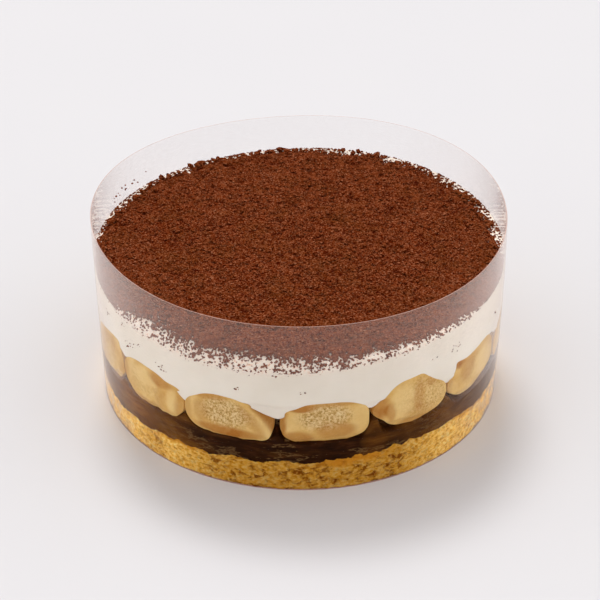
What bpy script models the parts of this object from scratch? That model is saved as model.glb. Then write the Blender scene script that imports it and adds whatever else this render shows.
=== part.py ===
"""Banoffee cake: a sponge base, caramel, a ring of banana pieces, cream and cocoa in a clear collar.

Metres, +Z up. The cake stands on z = 0 and its front faces -Y. An azimuth is an angle round the
cake from the front, positive towards +X. Heights and radii of what touches the collar are
functions of the azimuth, so every layer meets its neighbours all the way round.
"""
import math
import random

import bmesh
import bpy
from mathutils import Vector, noise

MM = 0.001
GAP = 0.3 * MM                      # clearance between neighbouring pieces
SEGMENTS = 72                       # steps round the cake
SHARP_ANGLE = 35                    # edges that bend more than this many degrees stay crisp

# The clear collar: a springy band, a little wider at its rim than at its foot.
COLLAR_HEIGHT = 94 * MM
COLLAR_WALL = 0.4 * MM
FOOT_RADIUS = 100 * MM
RIM_FLARE = 2.5 * MM
RIM_WAVES = ((2, 0.7 * MM, -26), (3, 1.4 * MM, 11), (4, 0.7 * MM, -35))

# The layers, from the bottom up. A wave is (count round the cake, height, azimuth of a crest).
BASE_TOP = 15 * MM
BASE_WAVES = ((1, 1.4 * MM, 82), (2, 1.1 * MM, 15), (3, 0.6 * MM, 22))
CRUMB_SIZE = 7 * MM
CRUMB_RELIEF = 1.5 * MM
CARAMEL_LEVEL = 29 * MM             # its top inside the ring of banana
RISE_TOP = 42 * MM                  # how high it climbs between the pieces of banana
RISE_INNER_RADIUS = 74 * MM
RISE_OUTER_RADIUS = 80 * MM
RECESS_DEPTH = 5 * MM               # hollow left between two pieces, next to the collar
RECESS_FLOOR = 28 * MM
RECESS_SLOPE = 1.5 * MM             # rise of its floor from the collar inwards

CREAM_TOP = 75.6 * MM
SHOULDER_START = 0.85               # share of the radius where the top starts to round over
SHOULDER_POWER = 2.2
CREAM_TOP_SHARES = (0, SHOULDER_START, 0.91, 0.95, 0.98, 1)
CONTACT_HEIGHT = 71 * MM            # where the cream leaves the collar
CONTACT_WAVES = ((1, 4.2 * MM, 150), (2, 1.6 * MM, 70), (3, 0.9 * MM, 40))

COCOA_THICKNESS = 1.0 * MM
COCOA_RELIEF = 0.35 * MM
COCOA_GRAIN = 14 * MM
COCOA_CUTS = 14                     # cuts in each side of the six triangles that make its disc
COCOA_RING_POWER = 0.85             # under 1 sets its rings closer together near the edge
COCOA_DROP = 0.42                   # share of the shoulder's fall that the cocoa covers
COCOA_RAGGED = 0.3                  # how much that share varies along the edge
COCOA_EDGE_LUMPS = (7 * MM, 3 * MM)

# The banana pieces that face the front: azimuth and half width in degrees, the lowest and the
# highest point in millimetres, the lean in degrees, and how square the outline is (2 is round).
FRONT_PIECES = (
    (-73.3, 10.6, 24.0, 47.0, 0, 2.7),
    (-47.8, 13.5, 24.5, 48.5, -3, 2.7),
    (-20.5, 12.5, 23.5, 50.0, -2, 2.6),
    (6.5, 12.2, 26.5, 50.5, 2, 3.0),
    (32.4, 12.3, 28.0, 54.5, 3, 2.2),
    (57.6, 11.3, 25.0, 51.0, 0, 2.7),
)
BACK_PIECES = 8
BACK_LOW = (24, 27)                 # ranges, in millimetres and degrees, that these are drawn from
BACK_HIGH = (47.5, 52)
BACK_LEAN = (-4, 4)
BACK_SQUARENESS = (2.3, 3.0)
BACK_SEED = 14
PIECE_GAP = 1.9                     # degrees between two pieces at the back
PIECE_DEPTH = 11 * MM               # half of a piece's depth, from the collar inwards
PRESSED_SHARE = 0.6                 # where the collar flattens a piece, as a share of that depth
PIECE_DEPTH_POWER = 3.0
PIECE_LUMPS = 0.05
PIECE_STEPS_ROUND = 14
PIECE_STEPS_DEEP = 8


def clear_scene():
    for item in list(bpy.data.objects):
        bpy.data.objects.remove(item, do_unlink=True)


def make_collection(name):
    group = bpy.data.collections.new(name)
    bpy.context.scene.collection.children.link(group)
    return group


def make_material(name, colour, roughness, metallic=0.0, alpha=1.0):
    """A plain finish from an sRGB colour with values from 0 to 255."""
    finish = bpy.data.materials.new(name)
    finish.use_nodes = True
    linear = [((c / 255 + 0.055) / 1.055) ** 2.4 if c > 10 else c / 255 / 12.92 for c in colour]
    surface = finish.node_tree.nodes["Principled BSDF"]
    surface.inputs["Base Color"].default_value = (*linear, 1)
    surface.inputs["Roughness"].default_value = roughness
    surface.inputs["Metallic"].default_value = metallic
    surface.inputs["Alpha"].default_value = alpha
    finish.diffuse_color = (*linear, alpha)
    return finish


def waves(azimuth, terms):
    return sum(height * math.cos(count * (azimuth - math.radians(crest)))
               for count, height, crest in terms)


def smooth(value):
    value = min(max(value, 0.0), 1.0)
    return value * value * (3 - 2 * value)


def lumps(x, y, z, size, seed):
    """Soft noise between about -1 and 1, with lumps of the given size."""
    return noise.noise(Vector((x / size + seed, y / size - seed, z / size + 0.37 * seed)))


def polar(x, y):
    return math.atan2(x, -y), math.hypot(x, y)


def place(azimuth, radius, height):
    return Vector((radius * math.sin(azimuth), -radius * math.cos(azimuth), height))


def collar_radius(azimuth, height):
    """Outer radius of the collar: held by the cake low down, free to spring near its rim."""
    share = height / COLLAR_HEIGHT
    return FOOT_RADIUS + RIM_FLARE * share + waves(azimuth, RIM_WAVES) * share ** 3


def food_radius(azimuth, height):
    return collar_radius(azimuth, height) - COLLAR_WALL - GAP


def base_height(azimuth, radius):
    x, y, _ = place(azimuth, radius, 0)
    crumbs = CRUMB_RELIEF * lumps(x, y, 0, CRUMB_SIZE, 3.1)
    return BASE_TOP + (waves(azimuth, BASE_WAVES) + crumbs) * smooth(radius / FOOT_RADIUS) ** 8


def contact_height(azimuth):
    return CONTACT_HEIGHT + waves(azimuth, CONTACT_WAVES)


def seam_height(radius):
    """Height of the surface where caramel and cream meet away from the bananas."""
    climb = smooth((radius - RISE_INNER_RADIUS) / (RISE_OUTER_RADIUS - RISE_INNER_RADIUS))
    return CARAMEL_LEVEL + (RISE_TOP - CARAMEL_LEVEL) * climb


def shoulder_fall(share):
    """How far the cream's top has fallen at a share of the radius: 0 flat, 1 at the collar."""
    across = (share - SHOULDER_START) / (1 - SHOULDER_START)
    if across <= 0:
        return 0.0
    return 1 - (1 - min(across, 1) ** SHOULDER_POWER) ** (1 / SHOULDER_POWER)


def share_at_fall(fall):
    across = (1 - (1 - fall) ** SHOULDER_POWER) ** (1 / SHOULDER_POWER)
    return SHOULDER_START + (1 - SHOULDER_START) * across


def cream_surface(azimuth, share):
    """A point on the cream's top at a share of the way from the axis to the collar."""
    contact = contact_height(azimuth)
    height = CREAM_TOP - (CREAM_TOP - contact) * shoulder_fall(share)
    return share * food_radius(azimuth, height), height


def turn(outline, closed):
    """Turn an outline of (radius, height) round the axis. An open one starts and ends on it."""
    shape = bmesh.new()
    points = [shape.verts.new((radius, 0, height)) for radius, height in outline]
    first = 0 if closed else 1
    lines = [shape.edges.new((points[k - 1], points[k])) for k in range(first, len(points))]
    bmesh.ops.spin(shape, geom=points + lines, cent=(0, 0, 0), axis=(0, 0, 1),
                   angle=math.tau, steps=SEGMENTS, use_merge=True)
    bmesh.ops.remove_doubles(shape, verts=shape.verts, dist=1e-6)
    return shape


def split_quads(shape):
    """Cut each quad along a diagonal chosen in plan, so that facing surfaces split alike."""
    for face in list(shape.faces):
        corners = list(face.verts)
        if len(corners) == 4:
            first = min(range(4), key=lambda k: corners[k].co.x + 0.37 * corners[k].co.y)
            bmesh.utils.face_split(face, corners[first], corners[first - 2])


def add_object(name, shape, finish, group):
    """An object with its faces pointing out and crisp edges. Without a finish it is a cutter."""
    bmesh.ops.recalc_face_normals(shape, faces=shape.faces)
    if shape.calc_volume(signed=True) < 0:
        bmesh.ops.reverse_faces(shape, faces=shape.faces)
    mesh = bpy.data.meshes.new(name)
    shape.to_mesh(mesh)
    shape.free()
    mesh.shade_smooth()
    mesh.set_sharp_from_angle(angle=math.radians(SHARP_ANGLE))
    item = bpy.data.objects.new(name, mesh)
    if finish:
        mesh.materials.append(finish)
    else:
        item.hide_render = True
        item.display_type = "WIRE"
    group.objects.link(item)
    return item


def layer_body(rings, surface):
    """A turned body whose ring number k goes, at each azimuth, to surface(k, azimuth)."""
    last = rings - 1
    shape = turn([(0 if k in (0, last) else 1, last - k) for k in range(rings)], closed=False)
    for point in shape.verts:
        azimuth, radius = polar(point.co.x, point.co.y)
        ring = last - round(point.co.z)
        point.co = place(azimuth if radius > 0.5 else 0.0, *surface(ring, azimuth))
    split_quads(shape)
    return shape


def build_collar(finish, group):
    """An open band, turned from its wall's outline and bent to its uneven rim."""
    heights = [COLLAR_HEIGHT * share for share in (1, 0.75, 0.5, 0)]
    outer = [(1, height) for height in heights]
    inner = [(0.5, height) for height in reversed(heights)]
    shape = turn(outer + inner, closed=True)
    for point in shape.verts:
        azimuth, side = polar(point.co.x, point.co.y)
        radius = collar_radius(azimuth, point.co.z) - (0 if side > 0.75 else COLLAR_WALL)
        point.co = place(azimuth, radius, point.co.z)
    return add_object("collar", shape, finish, group)


def build_base(finish, group):
    """The sponge base: a flat foot, a crumbly side and an uneven top edge."""
    top_shares = (0, 0.88, 1)
    side_levels = (0.66, 0.33, 0.06)
    foot_inset = 0.8 * MM
    rings = len(top_shares) + len(side_levels) + 2

    def surface(ring, azimuth):
        if ring < len(top_shares):
            radius = top_shares[ring] * food_radius(azimuth, BASE_TOP)
            return radius, base_height(azimuth, radius)
        radius = food_radius(azimuth, 0)
        if ring == rings - 2:
            return radius - foot_inset, 0.0
        if ring == rings - 1:
            return 0.0, 0.0
        height = side_levels[ring - len(top_shares)] * base_height(azimuth, radius)
        x, y, z = place(azimuth, radius, height)
        dent = CRUMB_RELIEF / 2 * max(lumps(x, y, z, CRUMB_SIZE, 8.4), 0)
        return food_radius(azimuth, height) - dent, height

    return add_object("sponge_base", layer_body(rings, surface), finish, group)


def build_caramel(finish, group, pockets):
    """The caramel: it fills up to the bananas and climbs between them behind a small hollow."""
    base_shares = (1, 0.88, 0)
    inner_radii = (RISE_INNER_RADIUS, RISE_OUTER_RADIUS)
    rings = 1 + len(inner_radii) + 3 + len(base_shares)

    def surface(ring, azimuth):
        if ring == 0:
            return 0.0, CARAMEL_LEVEL - GAP / 2
        if ring <= len(inner_radii):
            radius = inner_radii[ring - 1]
            return radius, seam_height(radius) - GAP / 2
        step = ring - 1 - len(inner_radii)
        wall = food_radius(azimuth, RECESS_FLOOR)
        if step == 0:
            return food_radius(azimuth, RISE_TOP) - RECESS_DEPTH, RISE_TOP - GAP / 2
        if step == 1:
            return wall - RECESS_DEPTH, RECESS_FLOOR + RECESS_SLOPE
        if step == 2:
            return wall, RECESS_FLOOR
        radius = base_shares[step - 3] * food_radius(azimuth, BASE_TOP)
        return radius, base_height(azimuth, radius) + GAP

    return cut_by(add_object("caramel", layer_body(rings, surface), finish, group), pockets)


def build_cream(finish, group, pockets):
    """The cream: pressed against the collar below its contact line, rounded over above it."""
    side_levels = (0.5, 0)
    seam_radii = (RISE_OUTER_RADIUS, RISE_INNER_RADIUS)
    rings = len(CREAM_TOP_SHARES) + len(side_levels) + len(seam_radii) + 1

    def surface(ring, azimuth):
        if ring < len(CREAM_TOP_SHARES):
            return cream_surface(azimuth, CREAM_TOP_SHARES[ring])
        step = ring - len(CREAM_TOP_SHARES)
        if step < len(side_levels):
            low = RISE_TOP + GAP / 2
            height = low + (contact_height(azimuth) - low) * side_levels[step]
            return food_radius(azimuth, height), height
        if ring == rings - 1:
            return 0.0, CARAMEL_LEVEL + GAP / 2
        radius = seam_radii[step - len(side_levels)]
        return radius, seam_height(radius) + GAP / 2

    return cut_by(add_object("cream", layer_body(rings, surface), finish, group), pockets)


def even_disc(cuts):
    """A flat disc of even triangles with radius 1: a fan of six, cut finer and rounded out."""
    shape = bmesh.new()
    bmesh.ops.create_circle(shape, cap_ends=True, cap_tris=True, segments=6, radius=1)
    bmesh.ops.subdivide_edges(shape, edges=shape.edges, cuts=cuts, use_grid_fill=True)
    for point in shape.verts:
        turn = math.atan2(point.co.x, point.co.y) % (math.pi / 3)
        point.co *= math.cos(turn - math.pi / 6) / math.cos(math.pi / 6)
    return shape


def cream_copy(lift, cutters):
    """A cutter with the cream's own top, a little higher."""
    rings = len(CREAM_TOP_SHARES) + 2

    def surface(ring, azimuth):
        if ring < len(CREAM_TOP_SHARES):
            radius, height = cream_surface(azimuth, CREAM_TOP_SHARES[ring])
            return radius, height + lift
        return food_radius(azimuth, RISE_TOP) if ring == rings - 2 else 0.0, RISE_TOP

    add_object("cream_copy", layer_body(rings, surface), None, cutters)


def build_cocoa(finish, group, cutters):
    """The cocoa: a lumpy skin on the cream whose ragged edge runs down the shoulder."""
    lift = 1.5 * GAP
    thin_edge = 0.5
    sunk = 3 * MM
    shape = even_disc(COCOA_CUTS)
    grown = bmesh.ops.extrude_face_region(shape, geom=shape.faces[:])
    upper = {item for item in grown["geom"] if isinstance(item, bmesh.types.BMVert)}
    coarse, fine = COCOA_EDGE_LUMPS
    for point in shape.verts:
        azimuth, spread = polar(point.co.x, point.co.y)
        edge_x, edge_y, _ = place(azimuth, FOOT_RADIUS, 0)
        ragged = lumps(edge_x, edge_y, 0, coarse, 5.7) + 0.6 * lumps(edge_x, edge_y, 0, fine, 2.2)
        edge = share_at_fall(COCOA_DROP * (1 + COCOA_RAGGED * ragged))
        radius, height = cream_surface(azimuth, spread ** COCOA_RING_POWER * edge)
        x, y, _ = place(azimuth, radius, 0)
        if point in upper:
            relief = lumps(x, y, 0, COCOA_GRAIN, 1.3) + lumps(x, y, 0, COCOA_GRAIN / 2, 4.9)
            thickness = COCOA_THICKNESS + COCOA_RELIEF * relief
            height += lift + thickness * (thin_edge if spread > 0.99 else 1)
        else:
            height -= sunk
        point.co = (x, y, height)
    cream_copy(lift, cutters)
    return cut_by(add_object("cocoa", shape, finish, group), cutters)


def piece_places():
    """Azimuth, half width, low point, high point, lean and squareness of every piece."""
    places = [(math.radians(a), math.radians(w), low * MM, high * MM, math.radians(lean), square)
              for a, w, low, high, lean, square in FRONT_PIECES]
    start = FRONT_PIECES[-1][0] + FRONT_PIECES[-1][1] + PIECE_GAP
    end = 360 + FRONT_PIECES[0][0] - FRONT_PIECES[0][1] - PIECE_GAP
    pitch = (end - start + PIECE_GAP) / BACK_PIECES
    draw = random.Random(BACK_SEED)
    for number in range(BACK_PIECES):
        azimuth = start + pitch * number + (pitch - PIECE_GAP) / 2
        half_width = (pitch - PIECE_GAP) / 2 - draw.uniform(0, 0.7)
        low = draw.uniform(*BACK_LOW)
        high = draw.uniform(*BACK_HIGH)
        lean = draw.uniform(*BACK_LEAN)
        places.append((math.radians(azimuth), math.radians(half_width), low * MM, high * MM,
                       math.radians(lean), draw.uniform(*BACK_SQUARENESS)))
    return places


def power(value, exponent):
    return math.copysign(abs(value) ** exponent, value)


def piece_shape(where, seed, grow, pressed):
    """A rounded chunk, its outer side flattened by the collar when it is pressed."""
    centre, half_width, low, high, lean, square = where
    shape = bmesh.new()
    bmesh.ops.create_uvsphere(shape, u_segments=PIECE_STEPS_ROUND, v_segments=PIECE_STEPS_DEEP, radius=1)
    middle = food_radius(centre, low) - PIECE_DEPTH * PRESSED_SHARE
    half_height = (high - low) / 2
    for point in shape.verts:
        direction = point.co.normalized()
        ring = math.hypot(direction.x, direction.y)
        turn = math.atan2(direction.y, direction.x)
        flat = power(ring, 2 / PIECE_DEPTH_POWER)
        across = flat * power(math.cos(turn), 2 / square) if ring > 1e-6 else 0.0
        upright = flat * power(math.sin(turn), 2 / square) if ring > 1e-6 else 0.0
        swell = 1 + PIECE_LUMPS * lumps(*direction, 0.8, seed * 3.7)
        side = across * swell * half_width * FOOT_RADIUS
        tall = upright * swell * half_height
        side += math.copysign(grow, side) * abs(across)
        tall += math.copysign(grow, tall) * abs(upright)
        deep = power(direction.z, 2 / PIECE_DEPTH_POWER) * (PIECE_DEPTH * swell + grow)
        turned_side = side * math.cos(lean) - tall * math.sin(lean)
        turned_tall = side * math.sin(lean) + tall * math.cos(lean)
        azimuth = centre + turned_side / FOOT_RADIUS
        height = (low + high) / 2 + turned_tall
        radius = middle + deep
        if pressed:
            radius = min(radius, food_radius(azimuth, height))
        point.co = place(azimuth, radius, height)
    split_quads(shape)
    return shape


def build_bananas(finish, group, cutters):
    """The ring of banana, with a cutter a gap larger round each piece for its pocket."""
    for number, where in enumerate(piece_places(), 1):
        add_object(f"banana_{number:02d}", piece_shape(where, number, 0.0, True), finish, group)
        add_object(f"pocket_{number:02d}", piece_shape(where, number, GAP, False), None, cutters)


def cut_by(item, cutters):
    """Cut a collection's shapes out and keep the result, so that its new edges can be set sharp."""
    cut = item.modifiers.new("cut", "BOOLEAN")
    cut.operation = "DIFFERENCE"
    cut.operand_type = "COLLECTION"
    cut.collection = cutters
    cut.solver = "EXACT"
    bpy.context.view_layer.update()
    cut_item = item.evaluated_get(bpy.context.evaluated_depsgraph_get())
    item.data = bpy.data.meshes.new_from_object(cut_item)
    item.modifiers.clear()
    item.data.set_sharp_from_angle(angle=math.radians(SHARP_ANGLE))
    return item


def centre_on_origin(group):
    """Put the origin under the middle of the collar's box."""
    points = [point.co for point in group.objects["collar"].data.vertices]
    middle = [(min(p[k] for p in points) + max(p[k] for p in points)) / 2 for k in (0, 1)]
    for item in bpy.data.objects:
        item.location = (-middle[0], -middle[1], 0)


def main():
    clear_scene()
    cake = make_collection("banoffee_cake")
    pockets = make_collection("pockets")
    cream_cutters = make_collection("cream_cutters")
    sponge = make_material("sponge", (205, 158, 88), 0.9)
    toffee = make_material("toffee", (52, 30, 22), 0.3)
    banana = make_material("banana", (208, 173, 112), 0.55)
    whipped = make_material("whipped_cream", (236, 229, 218), 0.6)
    cocoa = make_material("cocoa_powder", (104, 50, 28), 0.95)
    film = make_material("clear_film", (240, 240, 240), 0.05, alpha=0.2)
    build_bananas(banana, cake, pockets)
    build_base(sponge, cake)
    build_caramel(toffee, cake, pockets)
    build_cream(whipped, cake, pockets)
    build_cocoa(cocoa, cake, cream_cutters)
    build_collar(film, cake)
    bpy.context.view_layer.update()
    centre_on_origin(cake)


main()
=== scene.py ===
import itertools
import math
import random

import bpy
import numpy as np
from mathutils import Matrix, Vector, noise


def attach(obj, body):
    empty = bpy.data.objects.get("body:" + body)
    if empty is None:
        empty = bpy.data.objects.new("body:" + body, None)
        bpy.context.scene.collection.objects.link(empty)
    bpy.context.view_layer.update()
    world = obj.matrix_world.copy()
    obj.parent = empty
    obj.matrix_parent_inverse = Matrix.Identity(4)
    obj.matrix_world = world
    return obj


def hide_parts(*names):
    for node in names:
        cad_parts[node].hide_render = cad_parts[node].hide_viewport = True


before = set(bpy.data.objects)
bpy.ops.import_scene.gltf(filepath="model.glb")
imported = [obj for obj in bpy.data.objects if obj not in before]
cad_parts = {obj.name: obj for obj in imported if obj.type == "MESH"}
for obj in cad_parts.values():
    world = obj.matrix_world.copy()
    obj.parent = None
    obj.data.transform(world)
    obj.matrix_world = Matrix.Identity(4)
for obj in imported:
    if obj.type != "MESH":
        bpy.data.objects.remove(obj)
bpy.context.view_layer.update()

# Banoffee cake: sponge, caramel, banana chunks, whipped cream and cocoa in a clear film collar.
# Lengths are in millimetres until a mesh is made. The front is -Y. An azimuth goes round the cake
# from the front, positive towards +X, so (azimuth, radius, height) is a place on or in it.

mm = 0.001
scene = bpy.context.scene
print("banoffee cake: shapes")


# numbers and noise

def smooth(value, low=0.0, high=1.0):
    t = np.clip((value - low) / (high - low), 0, 1)
    return t * t * (3 - 2 * t)


def blend(a, b, share):
    return a + (b - a) * share


def around(count):  # this many azimuths, evenly round the cake
    return np.linspace(0, math.tau, count, endpoint=False)


def waves(azimuth, terms):
    return sum(height * np.cos(count * (azimuth - math.radians(crest))) for count, height, crest in terms)


def hump(azimuth, where, wide, power=2):  # 1 at a place round the cake, fading past its half width
    away = (np.degrees(azimuth) + 180 - where) % 360 - 180
    return np.exp(-(away / wide) ** power)


def humps(azimuth, places, power=2):  # several, each given by its azimuth, half width in degrees and size
    return sum(size * hump(azimuth, where, wide, power) for where, wide, size in places)


def place(azimuth, radius, height):
    azimuth, radius, height = np.broadcast_arrays(azimuth, radius, height)
    return np.stack([radius * np.sin(azimuth), -radius * np.cos(azimuth), height], -1)


def shifted(points, size, seed):
    spread = np.asarray(size, float) * np.ones(3)
    return (points.reshape(-1, 3) / spread + (seed, -seed, 0.37 * seed)).tolist()


def lumps(points, size, seed):  # soft noise with lumps about as wide as size
    return np.array([noise.noise(p) for p in shifted(points, size, seed)]).reshape(points.shape[:-1])


def layered(points, layers):  # lumps of several kinds, each given by its height, size and seed
    return sum(height * lumps(points, size, seed) for height, size, seed in layers)


def grains(points, size, seed):  # 0 at a grain's middle, about 0.8 in the gaps between grains
    return np.array([noise.voronoi(p)[0][0] for p in shifted(points, size, seed)]).reshape(points.shape[:-1])


# the collar's wall, which everything inside leans on

film = {
    "height": 94,
    "wall": 0.4,
    "footRadius": 100,
    "rimFlare": 2.38,
    "rimWaves": ((2, 0.7, -26), (3, 1.4, 11), (4, 0.7, -35)),  # (count round, height, crest in degrees)
    "clearance": 0.3,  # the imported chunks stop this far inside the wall
    "segments": 480,
    "rows": 20,
    "lowRow": 4.5,
    "footLine": 0.45,  # up to here the foot's outer face takes the cut edge's finish, a painted highlight line
    "sharpEdge": 40,  # degrees
    "mirror": (0.85, -0.008),  # at a full slant, and what is taken off everywhere
    "mist": (0.062, 0.34),  # a light mist inside, from the cool damp cream: its share face on and sideways
    "mistRise": (54, 70),  # heights, from none to full
    "mostMist": 0.24,
    "haze": 0.3,
}


def filmRadius(azimuth, height):
    share = height / film["height"]
    return film["footRadius"] + film["rimFlare"] * share + waves(azimuth, film["rimWaves"]) * share ** 3


def wallRadius(azimuth, height, intoWall=0.05):  # food that touches the film reaches just into it
    return filmRadius(azimuth, height) - film["wall"] + intoWall


def middleOfCollar():  # the origin lies under the middle of the collar's box
    turns = np.radians(np.arange(0, 360, 5))
    heights = film["height"] * np.array((1, 0.75, 0.5, 0))
    rim = np.concatenate([place(turns, filmRadius(turns, h), h) for h in heights])
    return (rim.min(0) + rim.max(0)) / 2 * (1, 1, 0)


middle = middleOfCollar()


# meshes

def ringFaces(rows, segments, closed=False):
    last = rows if closed else rows - 1
    i, j = np.meshgrid(np.arange(last), np.arange(segments), indexing="ij")
    k = (j + 1) % segments
    n = (i + 1) % rows
    corners = i * segments + j, n * segments + j, n * segments + k, i * segments + k
    return np.stack(corners, -1).reshape(-1, 4).tolist()


def addPiece(name, points, faces, material, replaced=(), marks=None, flat=False):
    mesh = bpy.data.meshes.new(name)
    mesh.from_pydata(((points.reshape(-1, 3) - middle) * mm).tolist(), [], faces)
    mesh.polygons.foreach_set("use_smooth", [not flat] * len(mesh.polygons))
    for mark, values in (marks or {}).items():
        layer = mesh.attributes.new(mark, "FLOAT", "POINT")
        layer.data.foreach_set("value", np.asarray(values, np.float32).ravel())
    mesh.materials.append(material)
    mesh.update()
    piece = bpy.data.objects.new(name, mesh)
    scene.collection.objects.link(piece)
    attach(piece, "root")
    if replaced:
        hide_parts(*replaced)
    print(f"  {name}: {sum(len(f) - 2 for f in faces)} triangles")
    return piece


def newRings(turns):
    # rings of points round the cake, each with its mark, and the function that adds one
    rings, marks = [], []

    def addRing(radius, height, mark=0):
        rings.append(place(turns, radius, height))
        marks.append(np.full_like(turns, mark))
    return rings, marks, addRing


def closedForm(rings, ends):
    # rings of points joined one to the next, closed at both ends by a point
    rings = np.array(rings)
    rows, count = rings.shape[:2]
    last = (rows - 1) * count
    j = np.arange(count)
    k = (j + 1) % count
    fans = (j, k, np.full(count, last + count)), (last + k, last + j, np.full(count, last + count + 1))
    faces = np.concatenate([np.stack(fan, -1) for fan in fans]).tolist()
    return np.concatenate([rings.reshape(-1, 3), ends]), ringFaces(rows, count) + faces


# materials

def tone(hexColour):
    channels = [int(hexColour[k:k + 2], 16) / 255 for k in (1, 3, 5)]
    return (*[c / 12.92 if c < 0.04045 else ((c + 0.055) / 1.055) ** 2.4 for c in channels], 1)


def newMaterial(name, finish, **options):
    material = bpy.data.materials.new(name)
    material.use_nodes = True
    tree = material.node_tree
    tree.nodes.clear()
    addNode(tree, "OutputMaterial", {"Surface": finish(tree, **options)})
    return material


def addNode(tree, kind, inputs=None, stops=(), **settings):
    # an input is a value, a hex colour, the name of a mark on the mesh, a socket or a node
    node = tree.nodes.new("ShaderNode" + kind)
    if kind == "Mix":
        node.data_type = "RGBA"  # its input 0 is the share, 6 and 7 are the colours
    for name, value in settings.items():
        setattr(node, name, value)
    for name, value in (inputs or {}).items():
        if isinstance(value, str):
            value = tone(value) if value[0] == "#" else addNode(tree, "Attribute", attribute_name=value)
        if isinstance(value, bpy.types.Node):
            value = value.outputs[2 if value.type in ("MIX", "ATTRIBUTE") else 0]
        if isinstance(value, bpy.types.NodeSocket):
            tree.links.new(value, node.inputs[name])
        else:
            node.inputs[name].default_value = value
    if stops:
        ramp = node.color_ramp
        while len(ramp.elements) < len(stops):
            ramp.elements.new(1)
        for element, (position, colour) in zip(ramp.elements, stops):
            element.position = position
            element.color = tone(colour) if isinstance(colour, str) else (colour, colour, colour, 1)
    return node


def perMm(size):  # a noise texture's scale that gives lumps of this size
    return 1 / (size * mm)


def cocoaPowder(tree):
    # alkalised cocoa, sieved: dead matt, red brown with olive patches, near black painted shade in the gaps
    # between crumbs and in the cracks.
    # Its crumbs are drawn coarser than the powder is, so that they show. Their colour follows the same noise
    # as their bump:
    # darker in its hollows as painted shade, paler on its tops as painted highlight.
    where = addNode(tree, "TexCoord").outputs["Object"]
    swept = addNode(tree, "Mapping", {"Scale": (0.85, 1.5, 1), "Vector": where})
    lumpy = addNode(tree, "TexNoise", {"Scale": perMm(0.75), "Detail": 2, "Roughness": 0.6, "Vector": swept})
    broad = addNode(tree, "TexNoise", {"Scale": perMm(12), "Detail": 5, "Vector": where})
    # painted shade and highlight: this ramp runs on the bump's own noise, dark in its hollows, pale on its
    # tops
    crumbs = addNode(tree, "ValToRGB", {"Fac": lumpy}, (
        (0.32, "#380000"), (0.42, "#581800"), (0.5, "#753414"), (0.58, "#8a4a2c"), (0.68, "#ac7254")))
    olive = addNode(tree, "MapRange", {"From Min": 0.45, "From Max": 0.7, "To Max": 0.22, "Value": broad})
    mixed = addNode(tree, "Mix", {0: olive, 6: crumbs, 7: "#653e16"})
    # pressed on the film: the same, darker in the bump's hollows, with pale painted highlight specks on its
    # tops
    pressed = addNode(tree, "ValToRGB", {"Fac": lumpy}, (
        (0.36, "#6a2a0e"), (0.48, "#763618"), (0.58, "#844426"), (0.7, "#ac765a")))
    calm = addNode(tree, "Mix", {0: "smear", 6: mixed, 7: pressed})
    # painted shade: the gap mark darkens the gaps between crumbs and the cracks to near black
    deep = addNode(tree, "Math", {0: "gap", 1: 0.9}, operation="MULTIPLY")
    powder = addNode(tree, "Mix", {0: deep, 6: calm, 7: "#3c0600"})
    relief = addNode(tree, "Bump", {"Strength": 0.8, "Distance": 0.5 * mm, "Height": lumpy})
    return addNode(tree, "BsdfPrincipled", {
        "Base Color": powder, "Roughness": 1, "Specular IOR Level": 0, "IOR": 1.45, "Normal": relief})


def whippedCream(tree):
    # whipped dairy cream, spread smooth: milky, soft light inside, tinted round the dusting by fine cocoa and
    # by painted pink light bounced off the cocoa
    where = addNode(tree, "TexCoord").outputs["Object"]
    drift = addNode(tree, "TexNoise", {"Scale": perMm(22), "Detail": 3, "Vector": where})
    body = addNode(tree, "ValToRGB", {"Fac": drift}, ((0.3, "#ebe2d2"), (0.7, "#f3ebdd")))
    specks = addNode(tree, "TexNoise", {"Scale": perMm(1.2), "Detail": 3, "Vector": where})
    haze = addNode(tree, "ValToRGB", {"Fac": specks}, (
        (0.28, "#e2b494"), (0.36, "#ffe2cc"), (0.48, "#fff3e4")))
    # the dusting mark tints it pink: cocoa dust, and painted light bounced off the cocoa
    tinted = addNode(tree, "Mix", {0: "dusting", 6: body, 7: haze})
    pits = addNode(tree, "TexNoise", {"Scale": perMm(3), "Detail": 3, "Vector": where})
    relief = addNode(tree, "Bump", {"Strength": 0.12, "Distance": 0.3 * mm, "Height": pits})
    return addNode(tree, "BsdfPrincipled", {
        "Base Color": tinted, "Roughness": 0.55, "IOR": 1.4, "Specular IOR Level": 0.3, "Normal": relief,
        "Subsurface Weight": 0.15, "Subsurface Radius": (1, 0.8, 0.6), "Subsurface Scale": 2 * mm})


def darkCaramel(tree):
    # caramel boiled dark, set soft: near black brown, paler where it is thin, hairline smears along the film
    where = addNode(tree, "TexCoord").outputs["Object"]
    level = addNode(tree, "Mapping", {"Scale": (1, 1, 4), "Rotation": (0.12, 0.1, 0), "Vector": where})
    body = addNode(tree, "TexNoise", {"Scale": perMm(9), "Detail": 5, "Roughness": 0.68, "Vector": level})
    hairs = addNode(tree, "TexNoise", {"Scale": perMm(20), "Detail": 6, "Roughness": 0.65, "Vector": level})
    thick = addNode(tree, "ValToRGB", {"Fac": body}, ((0.35, "#1e0a00"), (0.52, "#2c1200"), (0.7, "#44220a")))
    smeared = addNode(tree, "ValToRGB", {"Fac": body}, ((0.3, "#6e3a0a"), (0.5, "#8a5418"), (0.7, "#a6722c")))
    layer = addNode(tree, "Mix", {0: "thin", 6: thick, 7: smeared})
    streaks = addNode(tree, "ValToRGB", {"Fac": hairs}, ((0, 0), (0.54, 0), (0.565, 0.7), (0.59, 0), (1, 0)))
    mixed = addNode(tree, "Mix", {0: streaks, 6: layer, 7: "#80603a"})
    return addNode(tree, "BsdfPrincipled", {
        "Base Color": mixed, "Roughness": 0.35, "IOR": 1.49, "Specular IOR Level": 0.05})


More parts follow.
